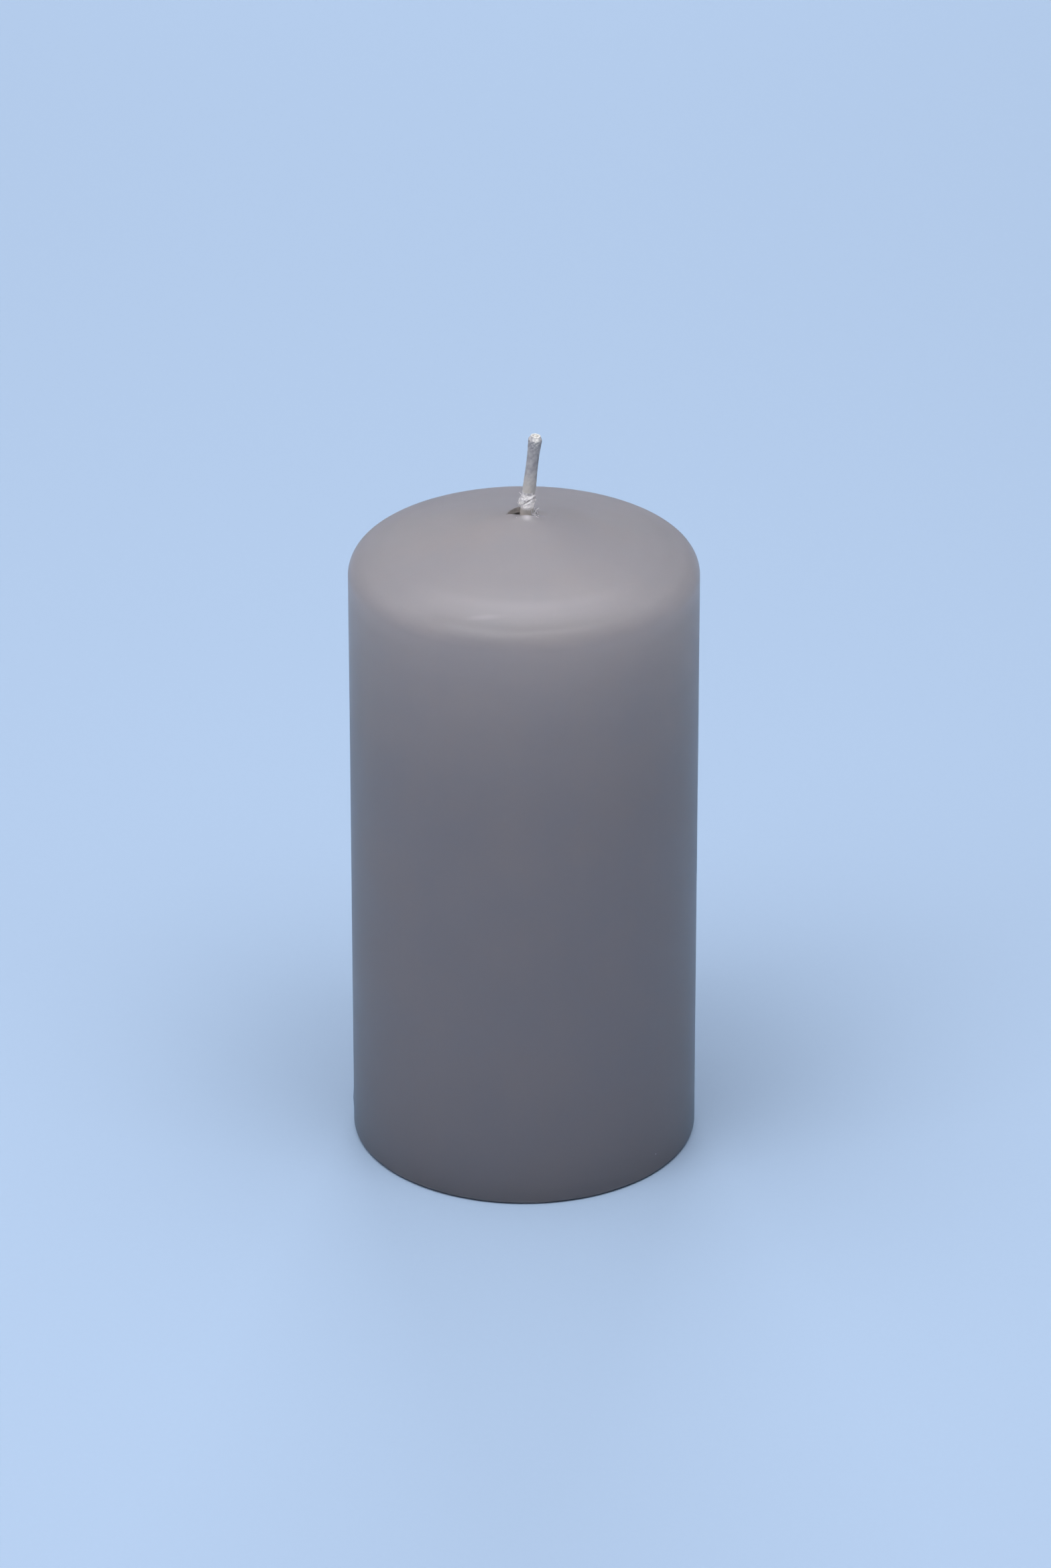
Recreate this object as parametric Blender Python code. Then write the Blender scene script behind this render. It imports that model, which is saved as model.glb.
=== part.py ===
"""Dipped pillar candle: a pressed white core in a grey dipped coat, with a cored braided wick.

Units are metres, +Z is up. The origin is the centre of the base, on the surface that the candle
stands on. Every piece is turned about the candle's own axis, except the wick and what sits on it,
which follow the wick's route.
"""

import math

import bmesh
import bpy
from mathutils import Matrix, Vector

# Outside of the candle
BODY_RADIUS = 0.035
APEX_HEIGHT = 0.1381          # top of the wax, where the wick leaves it
PEAK_RADIUS = 0.0118          # rounding of the peak
CONE_SLOPE = math.radians(16.5)       # fall of the cone-shaped top, all the way to the bend
BEND_START = 0.0285           # distance from the axis where the cone starts to bend down
BEND_RADIUS = 0.027
SHOULDER_SLOPE = math.radians(26.0)   # fall where the tight shoulder starts
BASE_ROUND = 0.0010           # rounded lower edge

# Dipped coat and pressed core
COAT_THICKNESS = 0.0012
FIT_GAP = 0.0003              # clearance between pieces that touch
COAT_HOLE_RADIUS = 0.0023     # hole in the coat's crown, round the wick
RIM_INNER_RADIUS = 0.0275     # the coat turns in under the base as far as this
CORE_BASE_HEIGHT = 0.0005     # the core shows inside the rim, a little above the standing face
BORE_RADIUS = 0.0019          # wick bore through the core

# Wick sustainer: a stamped steel disc with a crimped neck
DISC_RADIUS = 0.0100
DISC_THICKNESS = 0.0003
DISC_HEIGHT = 0.0008          # underside of the disc
NECK_RADIUS = 0.0020
NECK_CRIMP_RADIUS = 0.0018    # the neck's mouth is squeezed in to this
NECK_HEIGHT = 0.0042
NECK_CRIMP_HEIGHT = 0.0029    # where the squeeze starts
NECK_ROUND = 0.0006           # radius where the neck is drawn out of the disc
SEAT_CLEARANCE = 0.0004       # room that the core leaves round the sustainer

# Wick: a braided sleeve round a core thread
WICK_RADIUS = 0.0012
THREAD_RADIUS = 0.0005
WICK_GAP = 0.0001             # clearance between the thread, the braid and what grips it
WICK_FOOT_HEIGHT = 0.0010
WICK_TIP_HEIGHT = 0.1550
WICK_LEAN = 0.1135            # sideways travel for each metre of height, above the bend
WICK_STRAIGHT_HEIGHT = 0.124  # straight up the bore as far as this
WICK_BEND_HEIGHT = 0.1352
WICK_BEND_SOFTNESS = 0.005
TIP_FLARE = 0.00014           # the cut end has opened up by this much
TIP_FLARE_LENGTH = 0.005

# Collar: a lump of white wax left on the wick where it leaves the peak
COLLAR_BOTTOM = 0.1372
COLLAR_TOP = 0.1427
COLLAR_FOOT_RADIUS = 0.00162
COLLAR_BULGE_RADIUS = 0.00190
COLLAR_TOP_RADIUS = 0.00155
COLLAR_BULGE_HEIGHT = 0.1408

# Facets
BODY_SEGMENTS = 64
SUSTAINER_SEGMENTS = 32
WICK_SIDES = 12
BORE_RINGS = 4
STUB_RINGS = 14
PEAK_STEPS = 4
BEND_STEPS = 4
SHOULDER_STEPS = 8
BASE_STEPS = 4
SMOOTH_ANGLE = math.radians(35)


def clear_scene():
    """Remove every object, so that the script starts from nothing."""
    for old in list(bpy.data.objects):
        bpy.data.objects.remove(old, do_unlink=True)


def make_material(name, colour, roughness, metallic=0.0):
    """A Principled material of one colour."""
    material = bpy.data.materials.new(name)
    material.use_nodes = True
    shader = material.node_tree.nodes["Principled BSDF"]
    shader.inputs["Base Color"].default_value = (*colour, 1.0)
    shader.inputs["Roughness"].default_value = roughness
    shader.inputs["Metallic"].default_value = metallic
    return material


def arc(centre_r, centre_z, radius, start, end, steps):
    """Points (r, z) along an arc, its angles counted from +r towards +z."""
    angles = [start + (end - start) * i / steps for i in range(steps + 1)]
    return [(centre_r + radius * math.cos(a), centre_z + radius * math.sin(a)) for a in angles]


def body_outline(inset, hole_radius, base_height):
    """Half section of the candle, set in by inset: from the crown's hole down to the base.

    The peak, the cone, the bend, the shoulder, the wall and the lower edge are all offset by the
    same amount, and tangent to each other, as they are on the outside.
    """
    cone = math.pi / 2 - CONE_SLOPE
    shoulder = math.pi / 2 - SHOULDER_SLOPE
    peak_z = APEX_HEIGHT - PEAK_RADIUS
    cone_r = PEAK_RADIUS * math.cos(cone)
    cone_z = peak_z + PEAK_RADIUS * math.sin(cone)
    bend_r = BEND_START - BEND_RADIUS * math.cos(cone)
    bend_z = (cone_z - (BEND_START - cone_r) * math.tan(CONE_SLOPE)
              - BEND_RADIUS * math.sin(cone))
    shoulder_start_r = bend_r + BEND_RADIUS * math.cos(shoulder)
    shoulder_radius = (BODY_RADIUS - shoulder_start_r) / (1.0 - math.cos(shoulder))
    shoulder_z = bend_z + (BEND_RADIUS - shoulder_radius) * math.sin(shoulder)
    base_round = max(BASE_ROUND - inset, FIT_GAP)
    base_r = BODY_RADIUS - inset - base_round

    hole_edge = math.acos(hole_radius / (PEAK_RADIUS - inset))
    outline = arc(0.0, peak_z, PEAK_RADIUS - inset, hole_edge, cone, PEAK_STEPS)
    outline += arc(bend_r, bend_z, BEND_RADIUS - inset, cone, shoulder, BEND_STEPS)[:-1]
    outline += arc(BODY_RADIUS - shoulder_radius, shoulder_z, shoulder_radius - inset,
                   shoulder, 0.0, SHOULDER_STEPS)
    outline += arc(base_r, base_height + base_round, base_round,
                   0.0, -math.pi / 2, BASE_STEPS)
    return outline


def add_object(name, mesh, material, parent, location=(0.0, 0.0, 0.0)):
    """Put a mesh in the scene as a named, smooth-shaded piece."""
    mesh.shade_smooth()
    mesh.set_sharp_from_angle(angle=SMOOTH_ANGLE)
    mesh.materials.append(material)
    piece = bpy.data.objects.new(name, mesh)
    piece.location = location
    piece.parent = parent
    bpy.context.scene.collection.objects.link(piece)
    return piece


def turned_mesh(name, outline, segments):
    """Spin a closed outline of (r, z) points once round the Z axis."""
    bm = bmesh.new()
    corners = [bm.verts.new((r, 0.0, z)) for r, z in outline]
    edges = [bm.edges.new((corners[i - 1], corners[i])) for i in range(len(corners))]
    bmesh.ops.spin(bm, geom=corners + edges, cent=(0, 0, 0), axis=(0, 0, 1),
                   angle=2 * math.pi, steps=segments, use_merge=True)
    bmesh.ops.recalc_face_normals(bm, faces=bm.faces)
    mesh = bpy.data.meshes.new(name)
    bm.to_mesh(mesh)
    bm.free()
    return mesh


def wick_centre(height):
    """Centre of the wick at a height: straight up the bore, then leaning towards +X."""
    above = height - WICK_BEND_HEIGHT
    lean = WICK_LEAN * (math.hypot(above, WICK_BEND_SOFTNESS) + above) / 2
    return Vector((lean, 0.0, height))


def wick_radius(height):
    """Outer radius of the braid, which opens up at its cut end."""
    opening = max(0.0, 1.0 - (WICK_TIP_HEIGHT - height) / TIP_FLARE_LENGTH)
    return WICK_RADIUS + TIP_FLARE * opening ** 2


def wick_ring(bm, height, radius):
    """A ring of vertices square to the wick's route."""
    step = 0.0001
    along = wick_centre(height + step) - wick_centre(height - step)
    turn = Vector((0, 0, 1)).rotation_difference(along).to_matrix().to_4x4()
    place = Matrix.Translation(wick_centre(height)) @ turn
    circle = bmesh.ops.create_circle(bm, segments=WICK_SIDES, radius=radius, matrix=place)
    return circle["verts"]


def bridge(bm, lower, upper):
    """Join two rings of the same size with a band of quads."""
    for i in range(len(lower)):
        bm.faces.new((lower[i - 1], lower[i], upper[i], upper[i - 1]))


def tube_mesh(name, stations, inner_radius):
    """Tube along the wick's route. stations are (height, outer radius), from the bottom up."""
    bm = bmesh.new()
    outer = [wick_ring(bm, height, radius) for height, radius in stations]
    if inner_radius > 0.0:
        inner = [wick_ring(bm, height, inner_radius) for height, _ in reversed(stations)]
        rings = outer + inner
        for i in range(len(rings)):
            bridge(bm, rings[i - 1], rings[i])
    else:
        for lower, upper in zip(outer, outer[1:]):
            bridge(bm, lower, upper)
        bm.faces.new(outer[0])
        bm.faces.new(outer[-1])
    bmesh.ops.recalc_face_normals(bm, faces=bm.faces)
    mesh = bpy.data.meshes.new(name)
    bm.to_mesh(mesh)
    bm.free()
    return mesh


def wick_heights():
    """Heights of the wick's rings: few up the straight bore, closer where it bends and leans."""
    bore = WICK_STRAIGHT_HEIGHT - WICK_FOOT_HEIGHT
    stub = WICK_TIP_HEIGHT - WICK_STRAIGHT_HEIGHT
    heights = [WICK_FOOT_HEIGHT + bore * i / BORE_RINGS for i in range(BORE_RINGS)]
    heights += [WICK_STRAIGHT_HEIGHT + stub * i / STUB_RINGS for i in range(STUB_RINGS + 1)]
    return heights


def build_coat(parent):
    """Dipped skin, open at the wick and inside the standing rim."""
    outside = body_outline(0.0, COAT_HOLE_RADIUS, 0.0)
    inside = body_outline(COAT_THICKNESS, COAT_HOLE_RADIUS, COAT_THICKNESS)
    rim = [(RIM_INNER_RADIUS, 0.0), (RIM_INNER_RADIUS, COAT_THICKNESS)]
    mesh = turned_mesh("colour_coat", outside + rim + inside[::-1], BODY_SEGMENTS)
    grey_wax = make_material("grey_dipped_wax", (0.135, 0.138, 0.160), 0.48)
    return add_object("colour_coat", mesh, grey_wax, parent)


def build_core(parent):
    """Pressed white body, with the wick bore and the sustainer's seat in its base."""
    inset = COAT_THICKNESS + FIT_GAP
    step_r = RIM_INNER_RADIUS - FIT_GAP
    seat_r = DISC_RADIUS + SEAT_CLEARANCE
    seat_top = DISC_HEIGHT + DISC_THICKNESS + FIT_GAP
    pocket_r = NECK_RADIUS + SEAT_CLEARANCE
    pocket_top = DISC_HEIGHT + NECK_HEIGHT + SEAT_CLEARANCE
    blend_r = pocket_r + NECK_ROUND
    outline = body_outline(inset, BORE_RADIUS, inset)
    outline += [
        (step_r, inset), (step_r, CORE_BASE_HEIGHT),
        (seat_r, CORE_BASE_HEIGHT), (seat_r, seat_top),
        (blend_r, seat_top), (pocket_r, seat_top + NECK_ROUND),
        (pocket_r, pocket_top), (BORE_RADIUS, pocket_top + pocket_r - BORE_RADIUS),
    ]
    mesh = turned_mesh("wax_core", outline, BODY_SEGMENTS)
    white_wax = make_material("white_pressed_wax", (0.80, 0.78, 0.73), 0.6)
    return add_object("wax_core", mesh, white_wax, parent)


def build_sustainer(parent):
    """Steel disc that anchors the wick, its neck crimped round it."""
    bore_r = WICK_RADIUS + WICK_GAP
    outline = [
        (bore_r, 0.0), (DISC_RADIUS, 0.0), (DISC_RADIUS, DISC_THICKNESS),
        (NECK_RADIUS + NECK_ROUND, DISC_THICKNESS),
        (NECK_RADIUS, DISC_THICKNESS + NECK_ROUND),
        (NECK_RADIUS, NECK_CRIMP_HEIGHT), (NECK_CRIMP_RADIUS, NECK_HEIGHT),
        (bore_r, NECK_HEIGHT),
    ]
    mesh = turned_mesh("wick_sustainer", outline, SUSTAINER_SEGMENTS)
    steel = make_material("tinned_steel", (0.62, 0.63, 0.65), 0.35, 1.0)
    return add_object("wick_sustainer", mesh, steel, parent, (0.0, 0.0, DISC_HEIGHT))


def build_wick_braid(parent):
    """Braided sleeve, from the sustainer up the bore to the cut tip."""
    stations = [(height, wick_radius(height)) for height in wick_heights()]
    mesh = tube_mesh("wick_braid", stations, THREAD_RADIUS + WICK_GAP)
    cotton = make_material("waxed_cotton", (0.45, 0.44, 0.43), 0.7)
    return add_object("wick_braid", mesh, cotton, parent)


def build_wick_thread(parent):
    """Core thread that keeps the braid upright."""
    stations = [(height, THREAD_RADIUS) for height in wick_heights()]
    mesh = tube_mesh("wick_core_thread", stations, 0.0)
    thread = make_material("core_thread", (0.82, 0.80, 0.74), 0.85)
    return add_object("wick_core_thread", mesh, thread, parent)


def build_collar(parent):
    """Lump of white wax round the wick where it leaves the peak."""
    stations = [
        (COLLAR_BOTTOM, COLLAR_FOOT_RADIUS),
        ((COLLAR_BOTTOM + COLLAR_BULGE_HEIGHT) / 2, COLLAR_FOOT_RADIUS),
        (COLLAR_BULGE_HEIGHT, COLLAR_BULGE_RADIUS),
        ((COLLAR_BULGE_HEIGHT + COLLAR_TOP) / 2, COLLAR_BULGE_RADIUS),
        (COLLAR_TOP, COLLAR_TOP_RADIUS),
    ]
    mesh = tube_mesh("wick_collar", stations, WICK_RADIUS + WICK_GAP)
    white_wax = make_material("white_collar_wax", (0.78, 0.76, 0.73), 0.5)
    return add_object("wick_collar", mesh, white_wax, parent)


def main():
    clear_scene()
    candle = bpy.data.objects.new("candle", None)
    bpy.context.scene.collection.objects.link(candle)
    build_coat(candle)
    build_core(candle)
    build_sustainer(candle)
    build_wick_braid(candle)
    build_wick_thread(candle)
    build_collar(candle)
    bpy.context.view_layer.update()


main()
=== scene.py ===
"""Grey dipped pillar candle on a pale floor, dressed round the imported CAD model.

Each wax and wick piece replaces its plain CAD node with a finely modelled one in the same place.
Lengths are metres. +X is the side the wick leans to and -Y is the front.
"""

import math
import random

import bmesh
import bpy
import numpy as np
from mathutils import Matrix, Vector, noise


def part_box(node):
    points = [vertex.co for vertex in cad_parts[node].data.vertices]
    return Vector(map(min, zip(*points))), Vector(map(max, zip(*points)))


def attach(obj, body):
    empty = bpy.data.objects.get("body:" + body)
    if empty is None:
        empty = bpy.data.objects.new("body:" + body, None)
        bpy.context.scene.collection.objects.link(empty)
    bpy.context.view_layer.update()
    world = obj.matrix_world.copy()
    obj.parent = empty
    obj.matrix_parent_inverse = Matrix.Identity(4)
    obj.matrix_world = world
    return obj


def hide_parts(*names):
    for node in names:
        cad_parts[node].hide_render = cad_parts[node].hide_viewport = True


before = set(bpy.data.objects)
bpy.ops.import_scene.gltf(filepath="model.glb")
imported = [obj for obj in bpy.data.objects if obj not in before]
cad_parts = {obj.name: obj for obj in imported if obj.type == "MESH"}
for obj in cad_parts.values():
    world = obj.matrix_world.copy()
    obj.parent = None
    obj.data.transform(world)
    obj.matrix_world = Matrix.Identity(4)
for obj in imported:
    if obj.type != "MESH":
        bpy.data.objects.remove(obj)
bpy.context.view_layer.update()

MM = 0.001
TAU = 2 * math.pi

# Sizes that the frame gives
COAT_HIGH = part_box("colour_coat")[1]
CORE_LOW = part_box("wax_core")[0]
DISC_LOW, DISC_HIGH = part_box("wick_sustainer")
BRAID_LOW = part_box("wick_braid")[0]
BODY_RADIUS = COAT_HIGH[0]
DISC_RADIUS = DISC_HIGH[0]

# The design's own sizes, as in the CAD model
PEAK_RADIUS = 11.8 * MM
CONE_SLOPE = math.radians(16.5)
BEND_START = 28.5 * MM
BEND_RADIUS = 27.0 * MM
SHOULDER_SLOPE = math.radians(26.0)
BASE_ROUND = 1.0 * MM
COAT_THICKNESS = 1.2 * MM
COAT_HOLE_RADIUS = 2.3 * MM
RIM_INNER_RADIUS = 27.5 * MM
CORE_GAP = 0.3 * MM
BORE_RADIUS = 1.9 * MM
APEX_HEIGHT = COAT_HIGH[2] + PEAK_RADIUS - math.sqrt(PEAK_RADIUS ** 2 - COAT_HOLE_RADIUS ** 2)
WICK_RADIUS = 1.2 * MM
WICK_TIP_HEIGHT = 155.0 * MM
WICK_LEAN = 0.1135
WICK_BEND_HEIGHT = 135.2 * MM
WICK_BEND_SOFTNESS = 5.0 * MM
THREAD_RADIUS = 0.5 * MM
WICK_GAP = 0.1 * MM

# Rows of the outline on the cone, the bend, the shoulder, the wall and the rounded base
SKIN_ROWS = (46, 14, 24, 60, 10)
HIDDEN_ROWS = (8, 4, 6, 6, 2)
SMALLEST_ROUND = 0.3 * MM      # of the lower edge, where a set-in wall has none of its own


# ---------------------------------------------------------------------------------------- meshes

def smooth_step(low, high, value):
    """0 below low, 1 above high, and smooth between them. Works on numbers and arrays."""
    t = np.clip((value - low) / (high - low), 0.0, 1.0)
    return t * t * (3.0 - 2.0 * t)


def bump(distance, width):
    """A smooth hill of height 1 that fades over width."""
    return np.exp(-(distance / width) ** 2)


def ripple(rng, around, along, count, orders, cycles_per_metre):
    """Sum of random waves that closes up round the candle, between about -1 and 1."""
    total = 0.0
    for _ in range(count):
        order = rng.randint(*orders)
        pitch = rng.uniform(-cycles_per_metre, cycles_per_metre)
        phase = rng.uniform(0.0, TAU)
        total = total + np.cos(order * around + TAU * pitch * along + phase)
    return total / math.sqrt(count)


def add_piece(name, mesh, material):
    """Put a mesh in the scene as a smooth-shaded piece that rides on the candle."""
    mesh.shade_smooth()
    mesh.materials.append(material)
    piece = bpy.data.objects.new(name, mesh)
    bpy.context.scene.collection.objects.link(piece)
    return piece


def ring_mesh(name, grid, closed=True):
    """Mesh from an array of rings, (ring, column, xyz). Closed joins the last ring to the first."""
    rings, columns = grid.shape[:2]
    index = np.arange(rings * columns).reshape(rings, columns)
    if closed:
        index = np.vstack([index, index[:1]])
    lower, upper = index[:-1], index[1:]
    quads = np.stack([lower, np.roll(lower, -1, 1), np.roll(upper, -1, 1), upper], -1)
    mesh = bpy.data.meshes.new(name)
    faces = quads.reshape(-1, 4).tolist()
    if not closed:
        faces += [index[0, ::-1].tolist(), index[-1].tolist()]
    mesh.from_pydata(grid.reshape(-1, 3).tolist(), [], faces)
    bm = bmesh.new()
    bm.from_mesh(mesh)
    bmesh.ops.recalc_face_normals(bm, faces=bm.faces)
    bm.to_mesh(mesh)
    bm.free()
    return mesh


def crown_height(radius, inset=0.0):
    """Height of the cone-shaped top, set in by inset, at a distance from the axis."""
    peak = PEAK_RADIUS - inset
    edge = peak * math.sin(CONE_SLOPE)
    rounded = APEX_HEIGHT - PEAK_RADIUS + np.sqrt(peak ** 2 - np.minimum(radius, edge) ** 2)
    return rounded - np.maximum(radius - edge, 0.0) * math.tan(CONE_SLOPE)


def wick_centre(height):
    """Centre of the wick at a height: straight up the bore, then leaning towards +X."""
    above = height - WICK_BEND_HEIGHT
    lean = WICK_LEAN * (math.hypot(above, WICK_BEND_SOFTNESS) + above) / 2
    return Vector((lean, 0.0, height))


def shell_outline(inset, start_radius, counts):
    """Rows (r, z, normal r, normal z) down the candle, from start_radius on the cone to its base.

    Counts gives the rows on the cone, the bend, the shoulder, the wall and the rounded base.
    """
    cone_rows, bend_rows, shoulder_rows, wall_rows, base_rows = counts
    cone, shoulder = math.pi / 2 - CONE_SLOPE, math.pi / 2 - SHOULDER_SLOPE
    bend_r = BEND_START - BEND_RADIUS * math.cos(cone)
    bend_z = float(crown_height(BEND_START)) - BEND_RADIUS * math.sin(cone)
    turn_r = bend_r + BEND_RADIUS * math.cos(shoulder)
    turn_radius = (BODY_RADIUS - turn_r) / (1.0 - math.cos(shoulder))
    turn_z = bend_z + (BEND_RADIUS - turn_radius) * math.sin(shoulder)
    base_round = max(BASE_ROUND - inset, SMALLEST_ROUND)

    def straight(start, end, start_z, end_z, angle, count):
        steps = np.linspace(0.0, 1.0, count, endpoint=False)
        flat = np.ones(count)
        return np.stack([start + (end - start) * steps, start_z + (end_z - start_z) * steps,
                         flat * math.cos(angle), flat * math.sin(angle)], 1)

    def arc(centre_r, centre_z, radius, start, end, count):
        angle = np.linspace(start, end, count, endpoint=False)
        cos, sin = np.cos(angle), np.sin(angle)
        return np.stack([centre_r + radius * cos, centre_z + radius * sin, cos, sin], 1)

    bend = arc(bend_r, bend_z, BEND_RADIUS - inset, cone, shoulder, bend_rows)
    top = straight(start_radius, bend[0, 0], float(crown_height(start_radius, inset)), bend[0, 1],
                   cone, cone_rows)
    turn = arc(BODY_RADIUS - turn_radius, turn_z, turn_radius - inset, shoulder, 0.0, shoulder_rows)
    wall = straight(BODY_RADIUS - inset, BODY_RADIUS - inset, turn_z, inset + base_round,
                    0.0, wall_rows)
    foot = arc(BODY_RADIUS - inset - base_round, inset + base_round, base_round,
               0.0, -math.pi / 2, base_rows)
    return np.vstack([top, bend, turn, wall, foot])


# ------------------------------------------------------------------------------------- materials

def new_material(name, colour, roughness, **sockets):
    """Principled material. Returns the material, its node tree and its shader."""
    material = bpy.data.materials.new(name)
    material.use_nodes = True
    tree = material.node_tree
    shader = tree.nodes["Principled BSDF"]
    shader.inputs["Base Color"].default_value = (*colour, 1.0)
    shader.inputs["Roughness"].default_value = roughness
    for socket, value in sockets.items():
        shader.inputs[socket.replace("_", " ")].default_value = value
    return material, tree, shader


def add_node(tree, kind, links=None, **settings):
    """Add a shader node. Settings are its properties, and links fills its sockets by name."""
    made = tree.nodes.new("ShaderNode" + kind)
    for key, value in settings.items():
        setattr(made, key, value)
    for socket, value in (links or {}).items():
        if isinstance(value, bpy.types.NodeSocket):
            tree.links.new(value, made.inputs[socket])
        else:
            made.inputs[socket].default_value = value
    return made


def object_coordinates(tree, stretch=(1.0, 1.0, 1.0)):
    """Position in the candle's frame in metres, stretched along each axis."""
    position = add_node(tree, "TexCoord").outputs["Object"]
    mapping = add_node(tree, "Mapping", {"Vector": position, "Scale": stretch})
    return mapping.outputs["Vector"]


def noise_value(tree, coordinates, scale, detail=2.0, roughness=0.5):
    """Noise around 0.5, scale in cells for each metre."""
    made = add_node(tree, "TexNoise", {"Vector": coordinates, "Scale": scale, "Detail": detail,
                                       "Roughness": roughness})
    return made.outputs["Fac"]


def remap(tree, value, low, high, new_low=0.0, new_high=1.0):
    """Map a value from one range to another, smoothly and clamped."""
    made = add_node(tree, "MapRange", {"Value": value, "From Min": low, "From Max": high,
                                       "To Min": new_low, "To Max": new_high},
                    interpolation_type="SMOOTHSTEP")
    return made.outputs["Result"]


def ramp(tree, height, stops):
    """Value along a height. Stops are (millimetres, value), from the lowest up."""
    low, high = stops[0][0], stops[-1][0]
    along = add_node(tree, "MapRange", {"Value": height, "From Min": low * MM,
                                        "From Max": high * MM})
    made = add_node(tree, "ValToRGB", {"Fac": along.outputs["Result"]})
    made.color_ramp.interpolation = "EASE"
    elements = made.color_ramp.elements
    for _ in stops[2:]:
        elements.new(0.5)
    for element, (level, value) in zip(elements, stops):
        element.position = (level - low) / (high - low)
        element.color = (value, value, value, 1.0)
    return made.outputs["Color"]


def maths(tree, operation, first, second=0.0):
    """One step of arithmetic on sockets or numbers."""
    made = add_node(tree, "Math", {0: first, 1: second}, operation=operation)
    return made.outputs["Value"]


def blend_colours(tree, factor, first, second):
    """Mix two colours, each a socket or a colour triple."""
    made = add_node(tree, "Mix", data_type="RGBA")
    for socket, value in (("Factor", factor), ("A", first), ("B", second)):
        target = next(s for s in made.inputs
                      if s.name == socket and s.type == ("VALUE" if socket == "Factor" else "RGBA"))
        if isinstance(value, bpy.types.NodeSocket):
            tree.links.new(value, target)
        elif socket == "Factor":
            target.default_value = value
        else:
            target.default_value = (*value, 1.0)
    return next(s for s in made.outputs if s.type == "RGBA")


def add_bump(tree, shader, height, strength, distance):
    """Fine relief, distance in metres for a height of 1."""
    made = add_node(tree, "Bump", {"Height": height, "Strength": strength, "Distance": distance})
    tree.links.new(made.outputs["Normal"], shader.inputs["Normal"])


def near_point(tree, position, place, reach):
    """1 at a place, given in metres, fading to 0 at reach from it."""
    distance = add_node(tree, "VectorMath", {0: position, 1: place}, operation="DISTANCE")
    return remap(tree, distance.outputs["Value"], reach, 0.0)


def depth_under_cone(tree, position):
    """How far a point lies below the surface of the cone-shaped top, in metres."""
    axes = add_node(tree, "SeparateXYZ", {"Vector": position})
    flat = add_node(tree, "CombineXYZ", {"X": axes.outputs["X"], "Y": axes.outputs["Y"]})
    radius = add_node(tree, "VectorMath", {0: flat.outputs["Vector"]}, operation="LENGTH")
    fall = maths(tree, "MULTIPLY", radius.outputs["Value"], math.tan(CONE_SLOPE))
    on_cone = 10.0 * MM
    peak = float(crown_height(on_cone)) + on_cone * math.tan(CONE_SLOPE)
    return maths(tree, "SUBTRACT", maths(tree, "SUBTRACT", peak, fall), axes.outputs["Z"])


def painted_light_and_shade(tree, place, colour):
    """Painted light and shade: paler bands up the wall and round the shoulder, a painted highlight arc
    in front, and painted shade towards the foot and under the arc.
    """
    axes = add_node(tree, "SeparateXYZ", {"Vector": place})
    height = axes.outputs["Z"]
    front = remap(tree, axes.outputs["Y"], -21.0 * MM, -34.0 * MM)
    # Painted light: paler up the wall and in bands round the shoulder, laid differently in front and
    # at the sides
    painted_light_front = ramp(tree, height, (
        (92.0, 0.0), (104.0, 0.12), (114.0, 0.3), (120.5, 0.42), (124.0, 0.5), (125.3, 0.45),
        (127.6, 0.05), (128.6, 0.15), (129.5, 0.45), (130.3, 0.75), (130.9, 0.70), (131.6, 0.40),
        (132.6, 0.28), (134.6, 0.0)))
    painted_light_side = ramp(tree, height, (
        (92.0, 0.0), (104.0, 0.12), (114.0, 0.3), (120.5, 0.45), (124.0, 0.75), (127.2, 0.95),
        (128.8, 0.78), (130.2, 0.48), (131.6, 0.32), (133.2, 0.16), (135.5, 0.0)))
    painted_light_band = blend_colours(tree, front, painted_light_side, painted_light_front)
    colour = blend_colours(tree, painted_light_band, colour, (0.196, 0.180, 0.190))

    # Painted highlight: a bright arc where the cone bends over, in front only
    arc = ramp(tree, height, ((129.2, 0.0), (130.0, 0.22), (130.7, 0.44), (131.4, 0.20),
                              (132.6, 0.0)))
    arc = maths(tree, "MULTIPLY", arc, remap(tree, axes.outputs["Y"], -14.0 * MM, -32.0 * MM))
    colour = blend_colours(tree, arc, colour, (0.250, 0.230, 0.240))

    # Painted shade: darker towards the foot of the wall, and in a band in front just under the arc
    painted_shade = ramp(tree, height, ((10.0, 0.42), (45.0, 0.32), (80.0, 0.18), (105.0, 0.0)))
    front_shade_band = ramp(tree, height, ((126.8, 0.0), (127.8, 0.30), (128.6, 0.36), (129.4, 0.0)))
    painted_shade = maths(tree, "ADD", painted_shade, maths(tree, "MULTIPLY", front_shade_band, front))
    return blend_colours(tree, painted_shade, colour, (0.125, 0.112, 0.121))


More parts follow.
